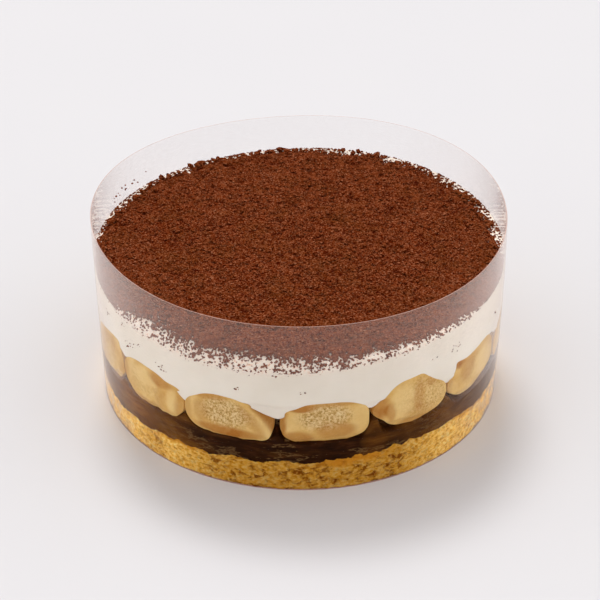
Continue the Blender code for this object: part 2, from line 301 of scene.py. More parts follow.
def bananaFlesh(tree):
    # ripe banana, cut and pressed: moist and tan, seed specks in its core, browned where it was cut.
    # The brown mark also lays painted shade on ends and lower edges that turn away from the film;
    # the soft mark is milky flesh, and painted highlight and painted film reflection.
    where = addNode(tree, "TexCoord").outputs["Object"]
    mottle = addNode(tree, "TexNoise", {"Scale": perMm(8), "Detail": 4, "Roughness": 0.55, "Vector": where})
    grit = addNode(tree, "TexNoise", {"Scale": perMm(1.1), "Detail": 4, "Roughness": 0.7, "Vector": where})
    flesh = addNode(tree, "ValToRGB", {"Fac": mottle}, ((0.3, "#cf9c50"), (0.5, "#dfb468"), (0.7, "#e8c47e")))
    grainy = addNode(tree, "ValToRGB", {"Fac": grit}, (
        (0.3, "#8a6228"), (0.42, "#bc9450"), (0.5, "#d6b276"), (0.62, "#ead09c")))
    grained = addNode(tree, "Math", {0: "core", 1: 0.9, 2: 0.1}, operation="MULTIPLY_ADD")
    pale = addNode(tree, "Mix", {0: grained, 6: flesh, 7: grainy})
    uneven = addNode(tree, "MapRange", {
        "From Min": 0.3, "From Max": 0.6, "To Min": 0.45, "To Max": 1.1, "Value": mottle})
    # brown mark: browning, and painted shade on ends and lower edges that turn away from the film
    browned = addNode(tree, "Math", {0: uneven, 1: "bruise"}, operation="MULTIPLY", use_clamp=True)
    # soft mark: milky flesh, and painted highlight and painted film reflection on bulging parts
    milky = addNode(tree, "Mix", {0: "soft", 6: pale, 7: "#f0d08e"})
    ripe = addNode(tree, "Mix", {0: browned, 6: milky, 7: "#b0702a"})
    relief = addNode(tree, "Bump", {"Strength": 0.5, "Distance": 0.35 * mm, "Height": grit})
    return addNode(tree, "BsdfPrincipled", {
        "Base Color": ripe, "Roughness": 0.5, "IOR": 1.4, "Specular IOR Level": 0.15, "Normal": relief,
        "Subsurface Weight": 0.1, "Subsurface Radius": (1, 0.6, 0.25), "Subsurface Scale": 2 * mm})


def bakedSponge(tree):
    # baked sponge: dry golden crumb with open pores, orange where caramel has soaked in along its top.
    # Browner at the front as painted shade, and in broad patches; its pores darkened as painted shade.
    where = addNode(tree, "TexCoord").outputs["Object"]
    laid = addNode(tree, "Mapping", {"Scale": (1, 1, 1.5), "Vector": where})
    crumb = addNode(tree, "TexNoise", {"Scale": perMm(2), "Detail": 5, "Roughness": 0.6, "Vector": laid})
    hollow = addNode(tree, "TexNoise", {
        "Scale": perMm(4.6), "Detail": 4, "Roughness": 0.62, "Distortion": 0.5, "Vector": laid})
    broad = addNode(tree, "TexNoise", {"Scale": perMm(26), "Detail": 2, "Vector": where})
    golden = addNode(tree, "ValToRGB", {"Fac": crumb}, (
        (0.32, "#c07e20"), (0.42, "#eab048"), (0.52, "#fec962"), (0.66, "#ffe490")))
    # painted shade: browner at the front, where less light falls than on the sides, and in broad patches
    crustAndShade = addNode(tree, "Math", {0: "baked", 1: 0.62}, operation="MULTIPLY")
    browned = addNode(tree, "Mix", {0: crustAndShade, 6: golden, 7: "#ac7006"})
    # painted shade: the pores darken where the bump sinks, more so at the front
    pores = addNode(tree, "ValToRGB", {"Fac": hollow}, ((0, 1), (0.37, 0.95), (0.43, 0.45), (0.5, 0)))
    opened = addNode(tree, "Math", {0: "baked", 1: 0.76, 2: 0.24}, operation="MULTIPLY_ADD")
    hollows = addNode(tree, "Math", {0: pores, 1: opened}, operation="MULTIPLY")
    toned = addNode(tree, "Mix", {0: hollows, 6: browned, 7: "#7c4004"})
    wetness = addNode(tree, "MapRange", {"From Min": 0.35, "From Max": 0.6, "To Min": 0.6, "Value": broad})
    soak = addNode(tree, "Math", {0: wetness, 1: "soaked"}, operation="MULTIPLY", use_clamp=True)
    wet = addNode(tree, "Mix", {0: soak, 6: toned, 7: "#c88424"})
    relief = addNode(tree, "Bump", {"Strength": 0.5, "Distance": 0.5 * mm, "Height": hollow})
    return addNode(tree, "BsdfPrincipled", {
        "Base Color": wet, "Roughness": 0.9, "Specular IOR Level": 0.02, "Normal": relief})


def clearFilm(tree, misted=False):
    # acetate sheet: colourless and glossy, its mirror stronger and its grey deeper at a glancing angle
    facing = addNode(tree, "LayerWeight", {"Blend": 0.5}).outputs["Facing"]
    steep = addNode(tree, "Math", {0: facing, 1: 5}, operation="POWER")
    most, less = film["mirror"]
    mirror = addNode(tree, "Math", {0: steep, 1: most, 2: less}, operation="MULTIPLY_ADD", use_clamp=True)
    grey = addNode(tree, "ValToRGB", {"Fac": facing}, (
        (0, "#ffffff"), (0.7, "#fdfcfc"), (0.92, "#f1eded"), (1, "#d6cccd")))
    clear = addNode(tree, "BsdfTransparent", {"Color": grey})
    gloss = addNode(tree, "BsdfAnisotropic", {"Roughness": 0.06, "Color": "#faf8f8"})
    sheet = addNode(tree, "MixShader", {0: mirror, 1: clear, 2: gloss})
    share = addNode(tree, "Math", {0: steep, 1: film["haze"]}, operation="MULTIPLY")
    if misted:
        # droplets in faint level streaks, thicker up the film, drawn coarser than they are, to show
        where = addNode(tree, "TexCoord").outputs["Object"]
        up = addNode(tree, "SeparateXYZ", {"Vector": where}).outputs["Z"]
        low, high = np.multiply(film["mistRise"], mm)
        rise = addNode(tree, "MapRange", {"From Min": low, "From Max": high, "Value": up},
                       interpolation_type="SMOOTHSTEP")
        level = addNode(tree, "Mapping", {"Scale": (0.4, 0.4, 1.7), "Vector": where})
        beads = addNode(tree, "TexNoise", {"Scale": perMm(1.1), "Detail": 2, "Vector": level})
        beaded = addNode(tree, "MapRange", {
            "From Min": 0.3, "From Max": 0.7, "To Min": 0.78, "To Max": 1.22, "Value": beads})
        amount = addNode(tree, "Math", {0: rise, 1: beaded}, operation="MULTIPLY")
        slant = addNode(tree, "Math", {0: facing, 1: 1.5}, operation="POWER")
        faceOn, sideways = film["mist"]
        milky = addNode(tree, "Math", {0: slant, 1: sideways, 2: faceOn}, operation="MULTIPLY_ADD")
        both = addNode(tree, "Math", {0: milky, 1: amount, 2: share}, operation="MULTIPLY_ADD")
        share = addNode(tree, "Math", {0: both, 1: film["mostMist"]}, operation="MINIMUM")
    milk = addNode(tree, "BsdfDiffuse", {"Color": "#fef0e6"})
    return addNode(tree, "MixShader", {0: share, 1: sheet, 2: milk})


def cutEdgeHighlight(tree):
    # the film's slit edge, also laid on a fine strip at its foot: frosted, coloured as a warm pale painted
    # highlight line, warmer face on
    facing = addNode(tree, "LayerWeight", {"Blend": 0.5}).outputs["Facing"]
    pale = addNode(tree, "ValToRGB", {"Fac": facing}, ((0, "#dea68e"), (1, "#c4b8b4")))
    return addNode(tree, "BsdfPrincipled", {
        "Base Color": pale, "Roughness": 0.6, "IOR": 1.49, "Specular IOR Level": 0.1, "Alpha": 0.6})


cocoaMaterial = newMaterial("cocoaPowderSieved", cocoaPowder)
bananaMaterial = newMaterial("bananaFleshRipe", bananaFlesh)


# the film collar

def buildFilm():
    turns = around(film["segments"])
    heights = np.append([0, film["footLine"]], np.linspace(film["lowRow"], film["height"], film["rows"]))
    outer = [place(turns, filmRadius(turns, h), h) for h in heights]
    inner = [place(turns, filmRadius(turns, h) - film["wall"], h) for h in heights[::-1]]
    rings = np.array(outer + inner)
    piece = addPiece("filmCollar", rings, ringFaces(len(rings), len(turns), closed=True),
                     newMaterial("acetateFilmClear", clearFilm), ["collar"])
    piece.data.materials.append(newMaterial("acetateFilmEdgeHighlight", cutEdgeHighlight))
    piece.data.materials.append(newMaterial("acetateFilmMisted", clearFilm, misted=True))
    for face in piece.data.polygons:
        outward = face.normal.x * face.center.x + face.normal.y * face.center.y
        # the cut edge and the foot's lowest strip take the painted highlight line
        if abs(face.normal.z) > 0.7 or face.center.z < film["footLine"] * mm:
            face.material_index = 1
        elif outward < 0:
            face.material_index = 2
    piece.data.set_sharp_from_angle(angle=math.radians(film["sharpEdge"]))


# the sponge base

base = {
    "top": 15,
    "waves": ((1, 1.4, 82), (2, 1.1, 15), (3, 0.6, 22)),
    "swells": ((36, 24, 1.7), (-36, 18, 1.6)),  # where its edge is thickest: azimuth, half width, rise
    "edgeLumps": ((1.3, 5.5, 11.3), (0.6, 2, 4.4), (0.5, 1, 6.7)),
    "crumbSize": 7,
    "crumbRelief": 1.5,
    "pores": ((1, (2.8, 2.8, 1.8), 8.4), (0.5, 1.2, 2.7)),
    "poreDepth": 0.8,
    "dentDepth": 0.5,
    "footInset": 0.6,
    # where caramel has soaked into its edge: azimuth, half width in degrees, depth
    "soaks": ((14, 10, 6), (55, 9, 3.5), (-34, 9, 2.2), (120, 14, 4), (-130, 12, 3)),
    "segments": 960,
    "topShares": (0.7, 0.88, 0.97, 0.985, 0.995),  # of the radius
    "sideRows": 32,
}


def baseHeight(azimuth, radius):
    crumbs = base["crumbRelief"] * lumps(place(azimuth, radius, 0), base["crumbSize"], 3.1)
    return base["top"] + (waves(azimuth, base["waves"]) + crumbs) * smooth(radius / film["footRadius"]) ** 8


def baseEdge(azimuth):
    edge = wallRadius(azimuth, 0)
    ragged = layered(place(azimuth, edge, 0), base["edgeLumps"])
    return baseHeight(azimuth, edge) + ragged + humps(azimuth, base["swells"])


def buildBase():
    turns = around(base["segments"])
    edge = wallRadius(turns, 0)
    top = baseEdge(turns)
    # it is browner at the front, painted shade for the front's dimmer light, and baked browner in broad
    # patches
    baked = smooth(np.cos(turns - 0.05), 0.72, 0.97)
    baked = baked + 0.6 * smooth(lumps(place(turns, edge, 0), 30, 2.2), 0.1, 0.6)
    rings, soaked, addRing = newRings(turns)
    for share in base["topShares"]:
        radius = edge * share
        addRing(radius, blend(baseHeight(turns, radius), top, smooth(share, 0.96, 1)), 1)
    for step in np.linspace(0.99, 0.012, base["sideRows"]):
        height = top * step
        spot = place(turns, edge, height)
        pores = smooth(layered(spot, base["pores"]), 0.15, 0.55)
        dents = base["dentDepth"] * np.maximum(lumps(spot, base["crumbSize"], 8.4), 0)
        depth = base["poreDepth"] * (0.25 + baked) * smooth(top - height, 0.2, 1.2)
        ragged = height - top + 2 * lumps(spot, 6, 5.1)
        wet = np.zeros_like(turns)
        for where, wide, deep in base["soaks"]:
            wet = np.maximum(wet, hump(turns, where, wide, 4) * smooth(ragged, -deep, 1 - deep / 2))
        addRing(wallRadius(turns, height) - depth * pores - dents, height, wet)
    addRing(edge - base["footInset"], 0)
    points, faces = closedForm(rings, [(0, 0, base["top"]), (0, 0, 0)])
    marks = {"soaked": np.append(soaked, (1, 0)),
             "baked": np.append(np.tile(np.clip(baked, 0, 1), len(rings)), (0.5, 0.5))}
    addPiece("spongeBase", points, faces, newMaterial("spongeBakedGolden", bakedSponge),
             ["sponge_base"], marks)


# the caramel

caramel = {
    "level": 29,
    "riseTop": 42,
    "rise": (74, 80),  # the radius where it leaves level, and where it reaches riseTop
    "recessDepth": 5,
    "recessFloor": 27.5,
    "floorLumps": ((0.9, 9, 6.6),),
    "backLumps": ((0.5, 5, 3.3),),
    # where it is squeezed up the film between two chunks: azimuth, half width in degrees, rise
    "climbs": ((-74, 4, 5), (-57, 2.4, 5), (-32.6, 2.2, 4), (-6.4, 1.6, 5), (19.6, 1.9, 12), (43.6, 2.6, 6)),
    # its rounded top on the film: how far in, how far up
    "lip": ((3, 1.4), (1.8, 1), (0.8, 0.5), (0.3, 0.15), (0.08, -0.15)),
    "intoWall": 0.02,
    "intoBase": 0.5,
    # where it is thin on the film and paler: azimuth, half width in degrees, share
    "thinned": ((-58, 30, 0.72), (20, 4, 0.3), (50, 24, 0.5), (130, 30, 0.6), (-135, 25, 0.4)),
    "thinLumps": ((0.3, (18, 18, 5), 9.1),),
    "segments": 720,
    "sideRows": 16,
}


def seamHeight(radius):
    return blend(caramel["level"], caramel["riseTop"], smooth(radius, *caramel["rise"]))


def buildCaramel():
    turns = around(caramel["segments"])
    wall = wallRadius(turns, caramel["recessFloor"], caramel["intoWall"])
    back = wall - caramel["recessDepth"]
    rings, _, addRing = newRings(turns)
    for radius in np.linspace(*caramel["rise"], 8):
        addRing(radius, seamHeight(radius))
    addRing(back, caramel["riseTop"] - 0.2)
    floor = caramel["recessFloor"] + layered(place(turns, wall, 0), caramel["floorLumps"])
    floor = floor + humps(turns, caramel["climbs"])
    for step in np.linspace(0, 1, 7):
        height = blend(caramel["riseTop"] - 1, floor + 1.8, step)
        wobble = layered(place(turns, wall, height), caramel["backLumps"])
        addRing(back + wobble + 0.5 * step, height)
    for inset, rise in caramel["lip"]:
        addRing(wall - inset, floor + rise)
    bottom = baseEdge(turns)
    for step in np.linspace(0, 1, caramel["sideRows"]):
        height = blend(floor - 0.5, bottom - 0.4, step)
        addRing(wallRadius(turns, height, caramel["intoWall"]), height)
    under = base["top"] - caramel["intoBase"]
    addRing(wallRadius(turns, bottom) - 2, bottom - 2.5)
    addRing(0.7 * wall, under)
    points, faces = closedForm(rings, [(0, 0, caramel["level"]), (0, 0, under)])
    thin = layered(np.array(rings), caramel["thinLumps"]) - 0.1 + humps(turns, caramel["thinned"], 4)
    marks = {"thin": np.append(np.clip(thin, 0, 1), (0, 0))}
    addPiece("caramelLayer", points, faces, newMaterial("caramelDarkSet", darkCaramel),
             ["caramel"], marks)


# the whipped cream

cream = {
    "top": 75.6,
    "shoulderStart": 0.85,
    "shoulderPower": 2.2,
    "contact": 71,
    "contactWaves": ((1, 4.2, 150), (2, 1.6, 70), (3, 0.9, 40)),
    "ripple": ((0.25, 6, 2.9),),
    "edge": 45.5,
    "edgeLumps": ((0.8, 16, 7.7),),
    "sag": 3.8,
    "sagWidth": 1.3,  # degrees
    "frontEdge": (  # azimuth in degrees, height
        (-76, 41), (-71.3, 42), (-67.5, 44), (-63.5, 46.8), (-60, 49), (-57.6, 48.6), (-56, 46.6),
        (-54.6, 47.2), (-52.6, 49), (-50, 49.6), (-46, 49), (-42, 46.6), (-38, 46), (-35, 45.6),
        (-33.6, 43.2), (-32.2, 41.5), (-31.1, 42.2), (-29.5, 45), (-27, 48), (-22, 49.6), (-17, 48.8),
        (-14, 47.2), (-12, 45.7), (-9.7, 43.8), (-7, 42), (-5.9, 41.6), (-4.6, 42.4), (-2.3, 45.8), (3, 48),
        (8, 49.6), (14, 49), (16.6, 46.6), (17.8, 44.8), (19, 44.6), (20.4, 45.4), (22.8, 48.2), (26.6, 52),
        (30, 54.2), (33.6, 54.8), (35.4, 52), (38, 49), (40, 46), (41.8, 43.6), (43.6, 42.8), (45.2, 44),
        (46.2, 46.6), (47.2, 49.6), (51, 49.6), (56, 50.2), (61, 51.2), (66, 50.2), (69, 47)),
    "lip": ((0.15, 0.35), (0.6, 0.8), (1.5, 1.1), (3, 1.2)),  # under its lower edge: how far in, how far down
    "overCaramel": 0.3,
    "seam": 44,
    "seamLumps": ((0.8, 8, 1.9),),
    "setBack": 0.5,
    # where its lower edge stops just short of the film: azimuth, half width in degrees, top of the seam
    "setBacks": ((-11, 9, 48.6), (21, 4.5, 47.5), (43, 2.5, 44),
                 (112, 14, 49), (168, 10, 48), (-140, 12, 49.5)),
    "segments": 720,
    "topShares": (0.4, 0.7, 0.82),  # of the radius
    "topRows": 26,
    "sideRows": 36,
}


def contactHeight(azimuth):
    return cream["contact"] + waves(azimuth, cream["contactWaves"])


def shoulderFall(share):
    across = np.clip((share - cream["shoulderStart"]) / (1 - cream["shoulderStart"]), 0, 1)
    return 1 - (1 - across ** cream["shoulderPower"]) ** (1 / cream["shoulderPower"])


def creamPoint(azimuth, share, lift=0):
    # a point on the cream's top at a share of the way to the film, raised by lift at right angles to it
    def spot(s):
        height = blend(cream["top"], contactHeight(azimuth), shoulderFall(s))
        return s * wallRadius(azimuth, height), height
    radius, height = spot(share)
    before, after = spot(share - 0.001), spot(share + 0.001)
    run, fall = after[0] - before[0], before[1] - after[1]
    length = np.hypot(run, fall)
    return radius + lift * fall / length, height + lift * run / length


def creamEdge(azimuth):
    # its lower edge on the film: high over each chunk, sagging into the gap after it
    lower = cream["edge"] + layered(place(azimuth, film["footRadius"], 0), cream["edgeLumps"])
    for centre, halfWidth, *_ in chunkPlaces():
        gap = centre + halfWidth + banana["backGap"] / 2
        lower = lower - cream["sag"] * hump(azimuth, gap, cream["sagWidth"])
    degrees = (np.degrees(azimuth) + 180) % 360 - 180
    at, heights = zip(*cream["frontEdge"])
    front = smooth(degrees, at[0] - 4, at[0]) * smooth(-degrees, -at[-1] - 4, -at[-1])
    return blend(lower, np.interp(degrees, at, heights), front)


def buildCream():
    turns = around(cream["segments"])
    contact, lower = contactHeight(turns), creamEdge(turns)
    rings, dusting, addRing = newRings(turns)
    for share in cream["topShares"]:
        addRing(*creamPoint(turns, share), 1)
    for step in np.linspace(0, 1, cream["topRows"]):
        share = blend(cream["shoulderStart"], 1, 1 - (1 - step) ** 1.6)
        radius, height = creamPoint(turns, share)
        ripple = layered(place(turns, radius, height), cream["ripple"]) * smooth(1 - share, 0, 0.01)
        # the mark for cocoa dust and painted bounce light: full on top, fading down the shoulder
        addRing(radius, height + ripple, 1 - 0.95 * smooth(shoulderFall(share), 0.6, 1))
    present, seam = np.zeros_like(turns), np.full_like(turns, cream["seam"])
    for azimuth, wide, top in cream["setBacks"]:
        here = hump(turns, azimuth, wide, 4)
        present, seam = np.maximum(present, here), np.where(here > 0.01, top, seam)
    seam = seam + layered(place(turns, film["footRadius"], 0), cream["seamLumps"])
    for step in np.linspace(0.01, 1, cream["sideRows"]):
        height = blend(contact, lower, step)
        inset = cream["setBack"] * present * smooth(seam - height, -0.7, 0.7)
        addRing(wallRadius(turns, height) - inset, height)
    for inset, drop in cream["lip"]:
        addRing(wallRadius(turns, lower) - cream["setBack"] * present - inset, lower - drop)
    for radius in np.linspace(*caramel["rise"][::-1], 6):
        addRing(radius, seamHeight(radius) + cream["overCaramel"])
    ends = [(0, 0, cream["top"]), (0, 0, caramel["level"] + cream["overCaramel"])]
    points, faces = closedForm(rings, ends)
    addPiece("creamLayer", points, faces, newMaterial("whippedCreamSmooth", whippedCream),
             ["cream"], {"dusting": np.append(dusting, (1, 0))})


# the cocoa

cocoa = {
    "lift": 0.45,
    "thickness": 1,
    "relief": 0.35,
    "reliefLumps": ((1, 14, 1.3), (1, 7, 4.9)),
    "fineLumps": ((0.2, 1, 7.1),),
    "crumbSize": (2.025, 1.35, 1.35),
    "crumbDepth": 0.95,
    "crumbFlatness": 0.75,
    "clodSize": (6.3, 4.5, 5),
    "clodDepth": 1.2,
    # the cracks between clods, in front and behind: size and seed, width, depth
    "cracks": (((4, 1.3, 2), 3.8), ((11, 2.4, 3), 6.1)),
    "crackWidth": (0.13, 0.19),
    "crackDepth": (0.6, 0.9),
    "innerShare": 0.86,  # of the radius, where the even middle ends and the fringe begins
    "ringStep": 0.55,
    "fringeSegments": 1600,
    "fringeStep": 0.32,
    "flakeThickness": 0.45,
    "flakeLumps": ((0.35, 1.1, 7.1),),
    "sunk": 0.35,  # how deep the fringe lies in the cream where the cream is bare
    "offFilm": 0.15,
    # how much of the noise lies bare, by the share of the shoulder's fall: covered on top, flakes at the film
    "thinning": ((0, -0.9), (0.1, -0.54), (0.2, -0.36), (0.28, -0.19), (0.36, -0.04), (0.45, 0.09),
                 (0.55, 0.15), (0.65, 0.17), (0.78, 0.18), (0.9, 0.19), (0.97, 0.22), (1, 0.4)),
    # places where more of the cream is bare, or less: azimuth, half width in degrees, how much
    "barer": ((-98, 12, -0.1), (-71, 14, -0.8), (-44, 9, 0.14), (-10, 6, 0.09), (90, 10, 0.15),
              (112, 12, -0.12), (40, 7, -0.1), (68, 14, -0.8)),
    "thinnerBehind": 0.18,
    "patches": ((0.65, 1, 3.9), (0.4, 2.4, 8.8), (0.22, 9, 5.5)),
    # loose clods, clods at the edge, grains: number, sizes, shares of the radius, sides, how far out they lie
    "loose": ((3400, (1, 2.6), (0, 0.93), 20, 0.1),
              (760, (1.4, 3.6), (0.91, 0.965), 20, 0.25),
              (11000, (0.5, 1.2), (0, 0.94), 8, 0.2)),
    "flakeCount": 2600,
    "flakeSizes": (0.5, 1.3),
    "straySizes": (0.6, 1.2),
    # crumbs that stuck to the film or were smeared into the cream: azimuth, height, spread both ways, number
    "strays": (
        (0.9, 56.6, 1.6, 1.4, 6), (-16.5, 56.2, 4, 0.7, 6), (-39.8, 54.8, 3.4, 2.2, 9),
        (-53.4, 56.6, 3.4, 1.6, 7), (-49.5, 58.8, 3.5, 1.6, 4), (-65, 61.5, 4, 2, 5),
        (-55.6, 64, 1.2, 1.4, 3), (45, 61, 4.5, 3.5, 12), (38, 61.5, 2.5, 1, 3),
        (69, 59.5, 3, 1.5, 4), (-120, 79, 20, 1.8, 14), (150, 60, 14, 4, 10),
        (100, 58, 8, 4, 8)),
}


def cocoaRelief(points):
    # how high the powder lies over the cream, how deep in a gap it is (the mark for painted shade), and how
    # far it is pressed smooth
    across, along = points[..., 0], points[..., 1]
    far = smooth(along, 0, 70)
    near = smooth(np.hypot(across, along), 70, 84) * smooth(-along, -20, 40)
    apart = grains(points, cocoa["crumbSize"], 2.3)
    crack = np.abs(blend(*[lumps(points, size, seed) for size, seed in cocoa["cracks"]], far))
    crease = 1 - smooth(crack, 0, blend(*cocoa["crackWidth"], far))
    crease = crease * smooth(lumps(points, 5, 9.2), -0.15, 0.2)
    thicker = 0.5 + 0.7 * smooth(along, -30, 60)  # it was sieved on more thickly behind
    clods = thicker * cocoa["clodDepth"] * lumps(points, cocoa["clodSize"], 6.2)
    lift = cocoa["relief"] * layered(points, cocoa["reliefLumps"]) + cocoa["crumbDepth"] * (0.45 - apart)
    lift = lift - blend(*cocoa["crackDepth"], far) * crease + clods
    lift = np.maximum(cocoa["lift"] + cocoa["thickness"] + lift + layered(points, cocoa["fineLumps"]), 0.2)
    # the gap mark, for painted shade: darker between crumbs and in the cracks
    gap = np.maximum(smooth(0.95 * apart - 0.2 * clods, 0.5, 0.85) * (1 - 0.4 * far), crease)
    return lift, gap * (1 - 0.5 * near), np.maximum(0.5 * far, 0.6 * near)


def buildCocoaMiddle():
    # rings of points round a single one, each with six more than the ring within it
    rings = int(cocoa["innerShare"] * film["footRadius"] / cocoa["ringStep"])
    turns, shares, faces = [0], [0], []
    start = 1
    for ring in range(1, rings + 1):
        count, within = 6 * ring, max(6 * ring - 6, 1)
        turns += (np.arange(count) * math.tau / count).tolist()
        shares += [ring / rings * cocoa["innerShare"]] * count
        for corner in range(count):
            side, step = divmod(corner, ring)
            a, b = start + corner, start + (corner + 1) % count
            c = start - within + (corner - side) % within
            faces.append((a, b, c))
            if step:
                faces.append((a, c, start - within + (corner - side - 1) % within))
        start += count
    turns, shares = np.array(turns), np.array(shares)
    radius, height = creamPoint(turns, shares)
    lift, gap, smear = cocoaRelief(place(turns, radius, 0))
    height = height + lift - 0.8 * (shares >= cocoa["innerShare"] - 1e-6)
    addPiece("cocoaDusting", place(turns, radius, height), faces, cocoaMaterial, ["cocoa"],
             {"gap": gap, "smear": smear})


def coverage(azimuth, fall, spot):
    # above 0 where cocoa covers the cream: full on top, thinning to flakes down the shoulder
    patchy = layered(spot, cocoa["patches"]) + 0.8 * (0.5 - grains(spot, 1.3, 5.7))
    barer = cocoa["thinnerBehind"] * smooth(-np.cos(azimuth), 0, 0.4) + humps(azimuth, cocoa["barer"])
    falls, bare = zip(*cocoa["thinning"])
    return patchy - np.interp(fall + barer * smooth(fall, 0, 0.08), falls, bare)


def buildCocoaFringe():
    turns = around(cocoa["fringeSegments"])
    fine = np.linspace(cocoa["innerShare"] - 0.012, 0.9995, 800)
    across, down = creamPoint(np.zeros_like(fine), fine)
    along = np.append(0, np.cumsum(np.hypot(np.diff(across), np.diff(down))))
    rows = int(along[-1] / cocoa["fringeStep"])
    shares = np.interp(np.linspace(0, along[-1], rows), along, fine)
    rings, gaps, smears = [], [], []
    for share in shares:
        radius, height = creamPoint(turns, share)
        spot = place(turns, radius, height)
        fall = shoulderFall(share)
        cover = smooth(coverage(turns, fall, spot), -0.03, 0.06)
        lift, gap, smear = cocoaRelief(place(turns, radius, 0))
        ends = 0.5 - 0.35 * smooth(-np.cos(turns), -0.3, 0.3)  # it breaks up into single clods sooner behind
        flake = cocoa["flakeThickness"] + layered(spot, cocoa["flakeLumps"])
        thick = blend(lift, flake, smooth(fall / ends, 0.1, 1))
        radius, height = creamPoint(turns, share, blend(-cocoa["sunk"], thick, cover))
        rings.append(place(turns, np.minimum(radius, wallRadius(turns, height, -cocoa["offFilm"])), height))
        gaps.append(gap)
        smears.append(np.maximum(smear, smooth(fall, 0.2, 0.5)))
    gaps = np.array(gaps) * (1 - 0.5 * smooth(np.array(smears), 0.5, 1))
    addPiece("cocoaFringe", np.array(rings), ringFaces(rows, len(turns)), cocoaMaterial,
             marks={"gap": gaps, "smear": smears})


def crumbShapes(places, sizes, draw, sides):
    # an uneven crumb at each place, with twenty sides or eight
    corners, golden = [(1, 0, 0), (-1, 0, 0)], (1 + 5 ** 0.5) / 2
    if sides == 20:
        corners = [(a, b * golden, 0) for a in (-1, 1) for b in (-1, 1)]
    corners = np.array([np.roll(c, k) for k in range(3) for c in corners], float)
    corners /= np.linalg.norm(corners[0])
    reach = 1.1 if sides == 20 else 1.5  # just over the length of an edge
    faces = [np.array(trio) for trio in itertools.combinations(range(len(corners)), 3)]
    faces = [f for f in faces if max(np.linalg.norm(corners[f] - corners[np.roll(f, 1)], axis=1)) < reach]
    faces = np.array([f if np.linalg.det(corners[f]) > 0 else f[::-1] for f in faces])
    count = len(places)
    shapes = corners * draw.uniform(0.7, 1.25, (count, len(corners), 1))
    shapes = shapes * draw.uniform(0.7, 1.3, (count, 1, 3))
    spin, tip = draw.uniform(0, math.tau, (2, count, 1))
    x, y, z = np.moveaxis(shapes, -1, 0)
    y, z = y * np.cos(tip) - z * np.sin(tip), (y * np.sin(tip) + z * np.cos(tip)) * cocoa["crumbFlatness"]
    shapes = np.stack([x * np.cos(spin) - y * np.sin(spin), x * np.sin(spin) + y * np.cos(spin), z], -1)
    points = (places[:, None, :] + shapes * (sizes / 2)[:, None, None]).reshape(-1, 3)
    return points, (np.arange(count)[:, None, None] * len(corners) + faces[None]).reshape(-1, 3)


def buildGrains():
    draw = np.random.default_rng(7)
    points, faces, total = [], [], 0
    for count, sizes, (low, high), sides, proud in cocoa["loose"]:
        turns = draw.uniform(0, math.tau, count)
        shares = np.sqrt(draw.uniform(low ** 2, high ** 2, count))
        widths = blend(*sizes, draw.uniform(0, 1, count) ** 1.6)
        radius, height = creamPoint(turns, shares)
        fall = shoulderFall(shares)
        keep = coverage(turns, fall, place(turns, radius, height)) > 0.1
        if low:  # no clods at the edge in front, where it is pressed to the film
            keep &= np.cos(turns) < 0.25
        height = height + blend(cocoaRelief(place(turns, radius, 0))[0], 0.5, smooth(fall, 0, 0.35))
        spots = place(turns, radius, height + proud * widths)
        some, corners = crumbShapes(spots[keep], widths[keep], draw, sides)
        points.append(some)
        faces.append(corners + total)
        total += len(some)
    faces = np.concatenate(faces).tolist()
    addPiece("cocoaGrains", np.concatenate(points), faces, cocoaMaterial, flat=True)


def buildFlakes():
    draw = np.random.default_rng(19)
    count = cocoa["flakeCount"]
    turns = draw.uniform(0, math.tau, count)
    falls = draw.uniform(0.15, 1, count)
    bend = cream["shoulderPower"]
    shares = blend(cream["shoulderStart"], 1, (1 - (1 - np.minimum(falls, 0.97)) ** bend) ** (1 / bend))
    radius, height = creamPoint(turns, shares)
    keep = coverage(turns, falls, place(turns, radius, height)) > -0.3
    turns, radius, height = turns[keep], radius[keep], height[keep]
    sizes = [draw.uniform(*cocoa["flakeSizes"], len(turns))]
    spots = [place(turns, np.minimum(radius, wallRadius(turns, height, -0.35)), height + 0.1)]
    draw = np.random.default_rng(23)
    for azimuth, level, wide, tall, number in cocoa["strays"]:
        turns = math.radians(azimuth) + draw.normal(0, 0.5, number) * wide / film["footRadius"]
        heights = level + draw.normal(0, 0.5, number) * tall
        spots.append(place(turns, wallRadius(turns, heights, -0.1), heights))
        sizes.append(draw.uniform(*cocoa["straySizes"], number))
    points, faces = crumbShapes(np.concatenate(spots), np.concatenate(sizes), draw, 20)
    addPiece("cocoaFlakes", points, faces.tolist(), cocoaMaterial, flat=True)


# the banana chunks

